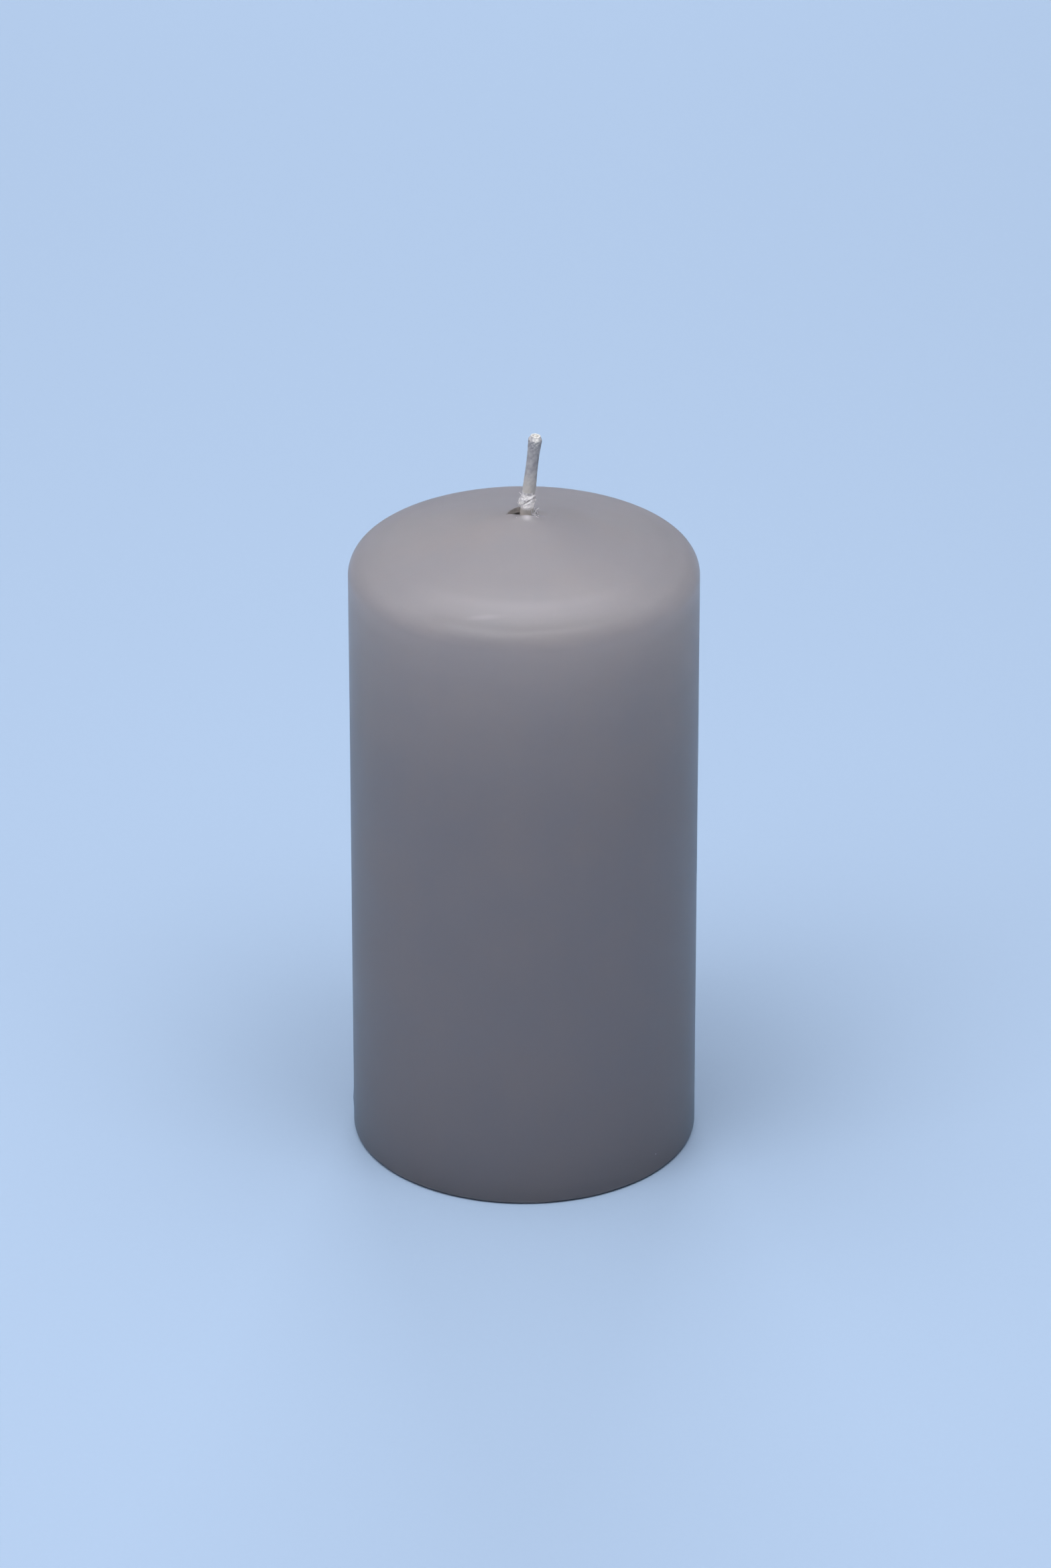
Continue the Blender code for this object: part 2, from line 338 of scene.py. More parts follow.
def nicks_dust_and_painted_glint(tree, place, colour):
    """White nicks and dark dust, a few millimetres apart, and a short painted highlight on the front
    shoulder.
    """
    cells = add_node(tree, "TexVoronoi", {"Vector": place, "Scale": 150.0, "Randomness": 1.0})
    distance = cells.outputs["Distance"]
    chance = add_node(tree, "TexWhiteNoise", {"Vector": cells.outputs["Position"]}).outputs["Value"]
    nick = maths(tree, "MULTIPLY", remap(tree, distance, 0.034, 0.016),
                 remap(tree, chance, 0.90, 0.92))
    colour = blend_colours(tree, maths(tree, "MULTIPLY", nick, 0.6), colour, (0.55, 0.55, 0.58))
    dust = maths(tree, "MULTIPLY", remap(tree, distance, 0.028, 0.014),
                 remap(tree, chance, 0.06, 0.05))
    colour = blend_colours(tree, maths(tree, "MULTIPLY", dust, 0.6), colour, (0.05, 0.05, 0.055))
    # Painted highlight: a short pale streak on the front shoulder
    squashed = object_coordinates(tree, (0.2, 1.0, 1.0))
    painted_glint = near_point(tree, squashed, (-1.6 * MM, -29.3 * MM, 129.6 * MM), 1.1 * MM)
    return blend_colours(tree, maths(tree, "MULTIPLY", painted_glint, 0.35), colour, (0.26, 0.24, 0.25))


def painted_light_and_shade_by_wick(tree, place, colour):
    """Painted highlight on the lip in front of the wick, and painted shade in the broken cavity beside
    it.
    """
    foot = wick_centre(APEX_HEIGHT)
    # Painted highlight: a pale patch on the pressed-up lip in front of the wick
    painted_highlight_patch = near_point(tree, place, (foot.x + 0.1 * MM, -2.0 * MM, foot.z), 1.3 * MM)
    colour = blend_colours(tree, maths(tree, "MULTIPLY", painted_highlight_patch, 0.75), colour,
                           (0.33, 0.315, 0.32))
    # Painted shade: the broken cavity beside the wick is painted dark below the cone's surface
    broken = remap(tree, depth_under_cone(tree, place), 0.03 * MM, 0.18 * MM)
    cavity = near_point(tree, place, (foot.x - 1.5 * MM, 2.2 * MM, 137.2 * MM), 4.8 * MM)
    broken = maths(tree, "MULTIPLY", broken, remap(tree, cavity, 0.0, 0.25))
    return blend_colours(tree, broken, colour, (0.062, 0.054, 0.050))


def grey_wax():
    """Dipped wax: even grey with faint clouding and a bluish bloom at grazing angles."""
    material, tree, shader = new_material(
        "grey_wax", (0.159, 0.146, 0.154), 0.55, IOR=1.44, Sheen_Weight=0.08,
        Sheen_Roughness=0.35, Sheen_Tint=(0.2, 0.6, 1.0, 1.0), Subsurface_Weight=0.9,
        Subsurface_Radius=(1.0, 0.97, 0.94), Subsurface_Scale=85.0 * MM)
    shader.subsurface_method = "BURLEY"
    place = object_coordinates(tree)
    cloud = noise_value(tree, place, 55.0, 3.0)
    streak = noise_value(tree, object_coordinates(tree, (1.0, 1.0, 0.07)), 210.0, 2.0)
    tone = maths(tree, "ADD", maths(tree, "MULTIPLY", cloud, 0.8),
                 maths(tree, "MULTIPLY", streak, 0.2))
    colour = blend_colours(tree, remap(tree, tone, 0.35, 0.65), (0.154, 0.143, 0.153),
                           (0.165, 0.149, 0.154))
    colour = painted_light_and_shade(tree, place, colour)
    colour = nicks_dust_and_painted_glint(tree, place, colour)
    colour = painted_light_and_shade_by_wick(tree, place, colour)
    tree.links.new(colour, shader.inputs["Base Color"])
    tree.links.new(remap(tree, cloud, 0.3, 0.7, 0.52, 0.58), shader.inputs["Roughness"])
    grain = noise_value(tree, place, 1600.0, 3.0, 0.6)
    add_bump(tree, shader, grain, 0.25, 0.03 * MM)
    return material


def white_wax():
    """Pressed wax granules, slightly translucent, with painted shade under the broken top."""
    material, tree, shader = new_material(
        "white_wax", (0.80, 0.78, 0.73), 0.55, IOR=1.44, Subsurface_Weight=1.0,
        Subsurface_Radius=(1.0, 0.9, 0.8), Subsurface_Scale=1.5 * MM)
    place = object_coordinates(tree)
    cells = add_node(tree, "TexVoronoi", {"Vector": place, "Scale": 800.0})
    colour = blend_colours(tree, remap(tree, cells.outputs["Distance"], 0.1, 0.8),
                           (0.83, 0.81, 0.77), (0.70, 0.67, 0.61))
    # Painted shade: the core is painted dark where it lies in the broken cavity under the coat
    painted_cavity_shade = near_point(tree, place, (-1.0 * MM, 2.0 * MM, 136.0 * MM), 9.0 * MM)
    colour = blend_colours(tree, remap(tree, painted_cavity_shade, 0.0, 0.2), colour, (0.11, 0.092, 0.080))
    tree.links.new(colour, shader.inputs["Base Color"])
    add_bump(tree, shader, cells.outputs["Distance"], 0.4, -0.1 * MM)
    return material


def collar_marks_and_painted_light(tree, place, tone, colour):
    """The collar's underside painted paler against its shade, its beige waxy foot, and the slit across
    its front painted dark as shade.
    """
    axes = add_node(tree, "SeparateXYZ", {"Vector": place})
    height = axes.outputs["Z"]
    # Painted light: the underside is painted paler to cancel the shade below the ball
    under = remap(tree, height, COLLAR_BALL_HEIGHT + 0.7 * MM, COLLAR_BALL_HEIGHT - 0.6 * MM)
    colour = blend_colours(tree, maths(tree, "MULTIPLY", under, 0.75), colour,
                           (0.86, 0.79, 0.74))
    ragged = maths(tree, "ADD", height, maths(tree, "MULTIPLY", tone, 1.0 * MM))
    waxy = remap(tree, ragged, COLLAR_BALL_HEIGHT - 0.7 * MM, COLLAR_BALL_HEIGHT - 1.3 * MM)
    colour = blend_colours(tree, waxy, colour, (0.45, 0.39, 0.345))
    # Painted shade: the slit cut into the mesh is also painted dark
    across = maths(tree, "SUBTRACT", axes.outputs["X"], wick_centre(SLIT_HEIGHT).x - SLIT_SHIFT)
    off_slit = maths(tree, "SUBTRACT", maths(tree, "SUBTRACT", height, SLIT_HEIGHT),
                     maths(tree, "MULTIPLY", across, SLIT_SLOPE))
    slit = remap(tree, maths(tree, "ABSOLUTE", off_slit), 0.22 * MM, 0.05 * MM)
    ends = remap(tree, maths(tree, "ABSOLUTE", across), 0.80 * MM, 0.55 * MM)
    front = remap(tree, axes.outputs["Y"], -0.9 * MM, -1.2 * MM)
    slit = maths(tree, "MULTIPLY", slit, maths(tree, "MULTIPLY", ends, front))
    return blend_colours(tree, maths(tree, "MULTIPLY", slit, 0.8), colour, (0.20, 0.18, 0.17))


def torn_wax(name, translucency, dull, bright, marks_and_painted_light=None):
    """White crumbly wax, with patches between two tones, and one piece's own tones and painted light
    laid over them, if any.
    """
    material, tree, shader = new_material(
        name, (0.60, 0.57, 0.58), 0.5, IOR=1.44, Subsurface_Weight=translucency,
        Subsurface_Radius=(1.0, 0.95, 0.9), Subsurface_Scale=16.0 * MM)
    shader.subsurface_method = "BURLEY"
    place = object_coordinates(tree)
    tone = noise_value(tree, place, 1400.0, 4.0, 0.65)
    colour = blend_colours(tree, remap(tree, tone, 0.38, 0.60), dull, bright)
    if marks_and_painted_light:
        colour = marks_and_painted_light(tree, place, tone, colour)
    tree.links.new(colour, shader.inputs["Base Color"])
    add_bump(tree, shader, tone, 0.6, 0.08 * MM)
    return material


def wick_cotton():
    """Cotton steeped in grey wax, paler at its foot, with a dry white wedge at the cut end."""
    material, tree, shader = new_material("wick_cotton", (0.3, 0.3, 0.3), 0.6)
    place = object_coordinates(tree)
    axes = add_node(tree, "SeparateXYZ", {"Vector": place})
    height = axes.outputs["Z"]
    patch = noise_value(tree, place, 900.0, 3.0)
    ragged = maths(tree, "ADD", height, maths(tree, "MULTIPLY", patch, 1.0 * MM))
    middle = wick_centre(WICK_TIP_HEIGHT).x + 0.25 * MM
    aside = maths(tree, "ABSOLUTE", maths(tree, "SUBTRACT", axes.outputs["X"], middle))
    pointed = maths(tree, "SUBTRACT", ragged, maths(tree, "MULTIPLY", aside, 2.4))
    dry = remap(tree, pointed, WICK_TIP_HEIGHT - 2.6 * MM, WICK_TIP_HEIGHT + 0.35 * MM)
    grey = blend_colours(tree, remap(tree, patch, 0.3, 0.7), (0.27, 0.26, 0.275),
                         (0.40, 0.385, 0.39))
    pale = remap(tree, maths(tree, "SUBTRACT", height, maths(tree, "MULTIPLY", patch, 3.0 * MM)),
                 147.0 * MM, 141.5 * MM)
    waxed = blend_colours(tree, pale, grey, (0.47, 0.435, 0.405))
    colour = blend_colours(tree, dry, waxed, (0.52, 0.505, 0.485))
    tree.links.new(colour, shader.inputs["Base Color"])
    tree.links.new(remap(tree, dry, 0.0, 1.0, 0.5, 0.9), shader.inputs["Roughness"])
    add_bump(tree, shader, noise_value(tree, place, 5000.0, 3.0), 0.3, 0.04 * MM)
    return material


def dry_thread():
    """Plain white cotton yarn."""
    material, tree, shader = new_material("dry_thread", (0.50, 0.49, 0.47), 0.9)
    fibre = noise_value(tree, object_coordinates(tree, (1.0, 1.0, 0.2)), 9000.0, 3.0)
    colour = blend_colours(tree, remap(tree, fibre, 0.3, 0.7), (0.37, 0.36, 0.345),
                           (0.48, 0.465, 0.445))
    tree.links.new(colour, shader.inputs["Base Color"])
    add_bump(tree, shader, fibre, 0.5, 0.03 * MM)
    return material


def tinned_steel():
    """Stamped steel with faint rolling lines."""
    material, tree, shader = new_material("tinned_steel", (0.62, 0.63, 0.65), 0.32, Metallic=1.0)
    lines = noise_value(tree, object_coordinates(tree, (1.0, 0.03, 1.0)), 3000.0, 3.0)
    tree.links.new(remap(tree, lines, 0.3, 0.7, 0.25, 0.45), shader.inputs["Roughness"])
    stain = noise_value(tree, object_coordinates(tree), 250.0, 3.0)
    colour = blend_colours(tree, remap(tree, stain, 0.35, 0.7), (0.64, 0.65, 0.67),
                           (0.50, 0.49, 0.48))
    tree.links.new(colour, shader.inputs["Base Color"])
    add_bump(tree, shader, lines, 0.15, 0.02 * MM)
    return material


# ---------------------------------------------------------------------------------- colour coat

COAT_COLUMNS = 360
JOIN_RADIUS = 6.5 * MM         # the broken mouth round the wick fades into the even cone here
MOUTH_RADIUS = 1.35 * MM       # where the coat hugs the wick
CRACK = (                      # corners of the crack by the wick, mm from the wick's centre
    (-0.9, -0.6), (-4.0, 0.6), (-3.0, 2.8), (-1.9, 5.0), (-0.6, 5.2))
LIP_ROUND = 0.15 * MM          # the mouth's edge is worn down by this
NUB_HEIGHT = 5.8 * MM          # a small pimple on the left of the wall
NUB_RISE = 0.28 * MM
NUB_REACH = 0.55 * MM


def mouth_radius(angle, grow=0.0):
    """Distance from the wick's centre to the edge of the broken mouth, in one direction."""
    wick = MOUTH_RADIUS / MM
    corners = [(x - grow, y + grow) for x, y in CRACK] + [(0.0, wick)]
    dx, dy = math.cos(angle), math.sin(angle)
    reach = wick + grow
    for (px, py), (qx, qy) in zip(corners, corners[1:]):
        ex, ey = qx - px, qy - py
        cross = dx * ey - dy * ex
        if abs(cross) < 1e-9:
            continue
        distance = (px * ey - py * ex) / cross
        along = (px * dy - py * dx) / cross
        if distance > 0.0 and 0.0 <= along <= 1.0:
            reach = max(reach, distance)
    return reach * MM


def coat_relief(x, y):
    """Height added to the cone near the wick: a pressed-up lip in front and a dip on the right."""
    foot = wick_centre(APEX_HEIGHT)
    u, v = (x - foot[0]) / MM, y / MM
    lip = 0.50 * bump(np.hypot((u - 0.1) / 1.6, v + 1.7), 1.0)
    dip = -0.35 * bump(np.hypot((u - 2.4) / 1.5, v - 0.9), 1.1)
    return (lip + dip) * MM


def coat_skin():
    """The dipped coat: a closed shell with its broken mouth, shoulder, wall and turned-in base."""
    rng = random.Random(7)
    around = np.arange(COAT_COLUMNS) * TAU / COAT_COLUMNS
    foot = wick_centre(APEX_HEIGHT)[0]

    # Rows round the mouth, from its edge out to the even cone
    mouth = np.array([mouth_radius(a) for a in around])
    mouth += 0.03 * MM * ripple(rng, around, 0.0, 6, (9, 40), 0.0)
    mouth_rows = 40
    outward = np.linspace(0.0, 1.0, mouth_rows, endpoint=False)[:, None] ** 1.2

    def mouth_patch(steps, inset):
        radius = mouth + (JOIN_RADIUS - mouth) * steps
        x = radius * np.cos(around) + foot * (1.0 - steps)
        y = radius * np.sin(around)
        z = crown_height(np.hypot(x, y), inset)
        return x, y, z

    x, y, z = mouth_patch(outward, 0.0)
    z = z + coat_relief(x, y) * smooth_step(1.0, 0.7, outward)
    z = z - LIP_ROUND * (1.0 - smooth_step(0.0, 0.06, outward))
    patch = np.stack([x, y, z], -1)

    # Rows down the cone, shoulder, wall and lower edge, with the dip's faint unevenness
    outline = shell_outline(0.0, JOIN_RADIUS, SKIN_ROWS)
    r, height, nr, nz = (outline[:, i:i + 1] for i in range(4))
    steps = np.hypot(*np.diff(outline[:, :2], axis=0).T)
    run = JOIN_RADIUS + np.concatenate([[0.0], np.cumsum(steps)])[:, None]
    fade = smooth_step(JOIN_RADIUS, 12.0 * MM, run)
    swell = 0.022 * MM * ripple(rng, around, run, 10, (2, 6), 12.0)
    streaks = 0.0018 * MM * ripple(rng, around, run, 14, (12, 40), 5.0)
    hem = 0.10 * MM * smooth_step(3.0 * MM, 0.6 * MM, height)
    hem = hem * ripple(rng, around, 0.0, 9, (3, 22), 0.0)
    sideways = np.where(np.cos(around) < 0.0, BODY_RADIUS * np.sin(around), BODY_RADIUS)
    nub = NUB_RISE * bump(np.hypot((height - NUB_HEIGHT) / 1.6, sideways), NUB_REACH)
    push = (swell + streaks) * fade + nub
    push = push * smooth_step(0.0, 1.5 * MM, height)
    x = (r + nr * push) * np.cos(around)
    y = (r + nr * push) * np.sin(around)
    z = height + nz * push
    z = np.maximum(z + np.where(nz < 0.0, hem * 0.3, 0.0), 0.0)
    side = np.stack([x, y, z], -1)

    # Standing face and rim, then back up the inside
    def flat_ring(radius, level):
        radius = radius + 0.0 * around
        return np.stack([radius * np.cos(around), radius * np.sin(around),
                         level + 0.0 * around], -1)[None]

    rim = RIM_INNER_RADIUS + 0.25 * MM * ripple(rng, around, 0.0, 8, (3, 24), 0.0)
    rim_rows = [flat_ring(BODY_RADIUS - BASE_ROUND, 0.0)]
    rim_rows += [flat_ring(rim + (BODY_RADIUS - BASE_ROUND - rim) * t, 0.0)
                 for t in (0.75, 0.5, 0.3, 0.15, 0.05)]
    rim_rows += [flat_ring(rim, 0.15 * MM), flat_ring(rim, 0.6 * MM),
                 flat_ring(rim, COAT_THICKNESS)]
    inside = shell_outline(COAT_THICKNESS, JOIN_RADIUS, HIDDEN_ROWS)[::-1]
    inner_rows = [flat_ring(row[0], row[1]) for row in inside]
    inner_steps = np.array([0.5, 0.0])[:, None]
    x, y, z = mouth_patch(inner_steps, COAT_THICKNESS)
    inner_mouth = np.stack([x, y, z], -1)
    x, y, z = mouth_patch(np.array([[0.0]]), COAT_THICKNESS * 0.5)
    edge = np.stack([x, y, z], -1)
    grid = np.concatenate([patch, side] + rim_rows + inner_rows + [inner_mouth, edge])
    piece = add_piece("coat_skin", ring_mesh("coat_skin", grid), grey_wax())
    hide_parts("colour_coat")
    return piece


# ------------------------------------------------------------------------------------ wick

STRANDS = 8                    # yarns each way round the braid
BRAID_PITCH = 9.5 * MM         # height of one full turn of a yarn
BRAID_RELIEF = 0.16 * MM
BRAID_SHOWN = 136.5 * MM       # below this the wick is hidden in the wax, and its weave is worn flat
TIP_FIBRES = 230               # that bristle from the cut end
STRAY_FIBRES = 26              # down the side


def braid_height(around, up):
    """0 to 1: relief of a round braid, two families of yarns that pass over and under."""
    a = STRANDS * around / TAU + STRANDS * up / BRAID_PITCH
    b = STRANDS * around / TAU - STRANDS * up / BRAID_PITCH
    crown_a = np.sqrt(np.clip(1.0 - (2.0 * (a % 1.0) - 1.0) ** 2, 0.0, 1.0))
    crown_b = np.sqrt(np.clip(1.0 - (2.0 * (b % 1.0) - 1.0) ** 2, 0.0, 1.0))
    over = 0.5 + 0.5 * np.cos(math.pi * (np.floor(a) + np.floor(b)))
    weave_a = crown_a * (0.55 + 0.45 * over)
    weave_b = crown_b * (1.0 - 0.45 * over)
    return np.maximum(weave_a, weave_b)


def wick_grid(heights, radius_at, columns):
    """Rings (height, column, xyz) square to the wick's route, radius_at(around, heights)."""
    around = np.arange(columns) * TAU / columns
    radius = radius_at(around[None], np.asarray(heights)[:, None])
    rows = []
    for height, ring in zip(heights, radius):
        centre = wick_centre(height)
        along = wick_centre(height + 0.1 * MM) - wick_centre(height - 0.1 * MM)
        side = Vector((0, 1, 0)).cross(along).normalized()
        rows.append([centre + side * (r * math.cos(a)) + Vector((0, r * math.sin(a), 0))
                     for a, r in zip(around, ring)])
    return np.array(rows)


def wick_braid():
    """Braided sleeve. Wax fills the weave except near the cut end, which has opened up."""
    heights = np.concatenate([np.linspace(BRAID_LOW[2], BRAID_SHOWN, 24, endpoint=False),
                              np.linspace(BRAID_SHOWN, WICK_TIP_HEIGHT, 230)])

    def outer(around, up):
        to_tip = WICK_TIP_HEIGHT - up
        bare = smooth_step(4.5 * MM, 0.8 * MM, to_tip)
        relief = BRAID_RELIEF * (0.30 + 0.70 * bare)
        opening = 0.20 * MM * smooth_step(5.0 * MM, 0.0, to_tip)
        clot = 0.10 * MM * smooth_step(148.0 * MM, 144.5 * MM, up)
        worn = 1.0 - 0.9 * smooth_step(BRAID_SHOWN, BRAID_SHOWN - 1.0 * MM, up)
        rounding = 0.38 * MM * smooth_step(0.9 * MM, 0.0, to_tip)
        radius = WICK_RADIUS - relief + relief * braid_height(around, up) * worn
        return radius + opening + clot - rounding

    def inner(around, up):
        return THREAD_RADIUS + WICK_GAP + 0.0 * around + 0.0 * up

    skin = wick_grid(heights, outer, 96)
    bore = wick_grid(heights[::-8], inner, 96)
    piece = add_piece("wick_braid_sleeve", ring_mesh("wick_braid_sleeve",
                      np.concatenate([skin, bore])), wick_cotton())
    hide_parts("wick_braid")
    return piece


def wick_thread():
    """Core thread, three plies twisted together, level with the cut end."""
    top = WICK_TIP_HEIGHT + 0.05 * MM
    heights = np.concatenate([np.linspace(BRAID_LOW[2], 140.0 * MM, 30, endpoint=False),
                              np.linspace(140.0 * MM, top, 80)])

    def plies(around, up):
        lobe = np.abs(np.cos(1.5 * (around - up * TAU / (3.0 * MM))))
        return THREAD_RADIUS * (0.86 + 0.14 * lobe) * (1 - 0.3 * smooth_step(top - 0.2 * MM, top, up))

    mesh = ring_mesh("wick_thread", wick_grid(heights, plies, 36), closed=False)
    piece = add_piece("wick_thread", mesh, dry_thread())
    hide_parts("wick_core_thread")
    return piece


def fibre_tube(bm, points, radius):
    """Thin closed tube of three sides along points."""
    rings = []
    for i, point in enumerate(points):
        ahead = points[min(i + 1, len(points) - 1)] - points[max(i - 1, 0)]
        side = ahead.orthogonal().normalized()
        other = ahead.cross(side).normalized()
        size = radius * (1.0 - 0.6 * i / (len(points) - 1))
        rings.append([bm.verts.new(point + size * (side * math.cos(a) + other * math.sin(a)))
                      for a in (0.0, TAU / 3, 2 * TAU / 3)])
    for lower, upper in zip(rings, rings[1:]):
        for i in range(3):
            bm.faces.new((lower[i - 1], lower[i], upper[i], upper[i - 1]))
    bm.faces.new(rings[0][::-1])
    bm.faces.new(rings[-1])


def wick_fibres():
    """Fibre ends that bristle from the cut end, and a few stray ones down the side."""
    rng = random.Random(11)
    bm = bmesh.new()
    for _ in range(TIP_FIBRES):
        angle = rng.uniform(0.0, TAU)
        spread = math.sqrt(rng.uniform(0.12, 1.0))
        low = WICK_TIP_HEIGHT - 0.25 * MM
        centre = wick_centre(low)
        out = Vector((math.cos(angle), math.sin(angle), 0.0))
        start = centre + out * spread * 0.75 * MM
        lean = out * spread * rng.uniform(0.0, 0.22) + Vector((0.1, 0.0, 1.0))
        length = rng.uniform(0.22, 0.50) * MM * (1.12 - 0.5 * spread)
        bend = Vector((rng.uniform(-1, 1), rng.uniform(-1, 1), 0.0)) * 0.06 * MM
        points = [start + lean * length * t + bend * t * t for t in (0.0, 0.35, 0.7, 1.0)]
        fibre_tube(bm, points, rng.uniform(0.022, 0.040) * MM)
    for _ in range(STRAY_FIBRES):
        height = rng.uniform(142.5, 153.5) * MM
        angle = rng.uniform(0.0, TAU)
        out = Vector((math.cos(angle), math.sin(angle), 0.0))
        start = wick_centre(height) + out * WICK_RADIUS * 0.94
        sweep = Vector((-out.y, out.x, 0.0)) * rng.choice((-1, 1)) + Vector((0, 0, rng.uniform(-1, 1)))
        length = rng.uniform(0.25, 0.7) * MM
        points = [start + (sweep * 0.7 * t + out * (0.9 * t - 0.7 * t * t)) * length
                  for t in (0.0, 0.3, 0.6, 1.0)]
        fibre_tube(bm, points, 0.016 * MM)
    bmesh.ops.recalc_face_normals(bm, faces=bm.faces)
    mesh = bpy.data.meshes.new("wick_fibres")
    bm.to_mesh(mesh)
    bm.free()
    return add_piece("wick_fibres", mesh, dry_thread())


# ---------------------------------------------------------------------------------- collar

COLLAR_BALL_HEIGHT = 140.9 * MM
SLIT_HEIGHT = 141.3 * MM       # middle of the slit across the front of the collar
SLIT_SHIFT = 0.2 * MM
SLIT_SLOPE = 0.62
COLLAR_LUMPS = (               # x and y from the wick's centre and height, then radius
    ((-0.10 * MM, -0.45 * MM, COLLAR_BALL_HEIGHT), 1.74 * MM),
    ((-0.72 * MM, -0.55 * MM, 142.1 * MM), 0.80 * MM),
    ((0.55 * MM, -0.50 * MM, 142.0 * MM), 0.85 * MM),
    ((-0.95 * MM, -0.60 * MM, 140.6 * MM), 0.85 * MM))


def lump_reach(a, height, lump):
    """How far one lump of the collar reaches from the wick's centre, towards angle a."""
    (shift_x, shift_y, centre), radius = lump
    rise = height - centre
    squeeze = 1.0 + 1.3 * max(0.0, -rise / radius) ** 1.3
    dx, dy = math.cos(a) * squeeze, math.sin(a)
    square = dx * dx + dy * dy
    along = shift_x * squeeze * dx + shift_y * dy
    beyond = (shift_x * squeeze) ** 2 + shift_y ** 2 - radius ** 2 + rise ** 2
    under_root = along ** 2 - square * beyond
    return (along + math.sqrt(under_root)) / square if under_root > 0.0 else 0.0


def wick_collar():
    """Crumbly ball of white wax on the wick, slit in front, over a slender waxy sleeve."""
    low, high = 137.2 * MM, 143.0 * MM
    sleeve = WICK_RADIUS + 0.12 * MM
    rows, columns = 130, 150
    around = np.arange(columns) * TAU / columns
    outer_rows = []
    for height in np.linspace(low, high, rows):
        centre = wick_centre(height)
        ring = []
        for a in around:
            ball = max(lump_reach(a, height, lump) for lump in COLLAR_LUMPS)
            point = Vector((math.cos(a), math.sin(a), 0.0)) * max(ball, sleeve)
            point.z = height
            lumps = noise.ridged_multi_fractal(point * 900.0, 1.0, 2.1, 4, 0.9, 2.0) - 1.1
            grit = noise.noise(point * 4200.0)
            bulk = max(0.0, min(1.0, (ball - sleeve) / (0.35 * MM)))
            radius = max(ball + (0.30 * lumps + 0.12 * grit) * MM * (0.2 + 0.8 * bulk), sleeve)
            x = radius * math.cos(a)
            front = 0.5 - 0.5 * math.sin(a)
            slit = abs((height - SLIT_HEIGHT) - SLIT_SLOPE * (x + SLIT_SHIFT))
            cut = math.exp(-(slit / (0.17 * MM)) ** 2) * front ** 4
            cut *= math.exp(-((x + SLIT_SHIFT) / (0.72 * MM)) ** 6)
            radius = max(radius - 0.9 * MM * cut, sleeve)
            ring.append(centre + Vector((radius * math.cos(a), radius * math.sin(a), 0.0)))
        outer_rows.append(ring)
    bore = [[wick_centre(h) + Vector((math.cos(a), math.sin(a), 0.0)) * (WICK_RADIUS + 0.08 * MM)
             for a in around] for h in np.linspace(high, low, 8)]
    grid = np.array(outer_rows + bore)
    wax = torn_wax("collar_wax", 0.6, (0.34, 0.315, 0.315), (0.56, 0.53, 0.53), collar_marks_and_painted_light)
    piece = add_piece("collar_lump", ring_mesh("collar_lump", grid), wax)
    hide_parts("wick_collar")
    return piece


def shard(bm, rng, start, end, width):
    """Thin curled splinter of wax between two points."""
    rings = []
    count, sides = 12, 8
    axis = (end - start).normalized()
    across = axis.cross(Vector((0, 1, 0))).normalized()
    curl = rng.uniform(-0.12, 0.12) * (end - start).length
    for i in range(count + 1):
        t = i / count
        middle = start.lerp(end, t) + across * curl * math.sin(math.pi * t)
        size = width * (0.55 + 0.45 * math.sin(math.pi * min(1.0, 0.15 + 0.85 * t)))
        ring = []
        for k in range(sides):
            a = TAU * k / sides
            offset = across * math.cos(a) * size + Vector((0, 1, 0)) * math.sin(a) * size * 0.45
            rough = 1.0 + 0.35 * noise.noise((middle + offset) * 4200.0)
            ring.append(bm.verts.new(middle + offset * rough))
        rings.append(ring)
    for lower, upper in zip(rings, rings[1:]):
        for k in range(sides):
            bm.faces.new((lower[k - 1], lower[k], upper[k], upper[k - 1]))
    bm.faces.new(rings[0][::-1])
    bm.faces.new(rings[-1])


CRUMBS = 14


def wax_flakes():
    """Splinters of wax that stand up on the right of the wick, and a few crumbs round it."""
    rng = random.Random(23)
    bm = bmesh.new()
    foot = wick_centre(APEX_HEIGHT)
    splinters = (   # start and end, mm from the wick's foot, and half width
        ((1.50, -0.90, -0.30), (0.95, -1.00, 1.15), 0.15),
        ((1.52, -0.82, -0.20), (1.62, -0.75, 1.60), 0.12),
        ((1.60, -0.80, 0.35), (2.50, -0.55, 1.40), 0.14),
        ((1.55, -0.95, -0.45), (1.64, -0.90, 0.40), 0.19),
        ((1.95, -0.60, 0.75), (2.20, -0.55, 0.15), 0.10),
        ((-1.75, -0.55, 2.65), (-1.35, -0.75, 1.75), 0.09),
        ((-1.05, -0.90, 4.55), (-1.45, -0.70, 4.95), 0.07))
    for start, end, width in splinters:
        shard(bm, rng, foot + Vector(start) * MM, foot + Vector(end) * MM, width * MM)
    for _ in range(CRUMBS):
        angle, reach = rng.uniform(-2.6, 1.0), rng.uniform(1.7, 2.9) * MM
        size = rng.uniform(0.05, 0.13) * MM
        made = bmesh.ops.create_icosphere(bm, subdivisions=2, radius=size)["verts"]
        x, y = foot.x + reach * math.cos(angle), reach * math.sin(angle)
        place = Vector((x, y, float(crown_height(math.hypot(x, y))) + size * 0.3))
        for v in made:
            v.co += noise.noise_vector(v.co / size * 1.3 + place * 900.0) * size * 0.5
            v.co += place
    bmesh.ops.recalc_face_normals(bm, faces=bm.faces)
    mesh = bpy.data.meshes.new("wax_flakes")
    bm.to_mesh(mesh)
    bm.free()
    wax = torn_wax("crumb_wax", 0.2, (0.50, 0.47, 0.48), (0.74, 0.71, 0.73))
    return add_piece("wax_flakes", mesh, wax)


# ------------------------------------------------------------------------- core and sustainer

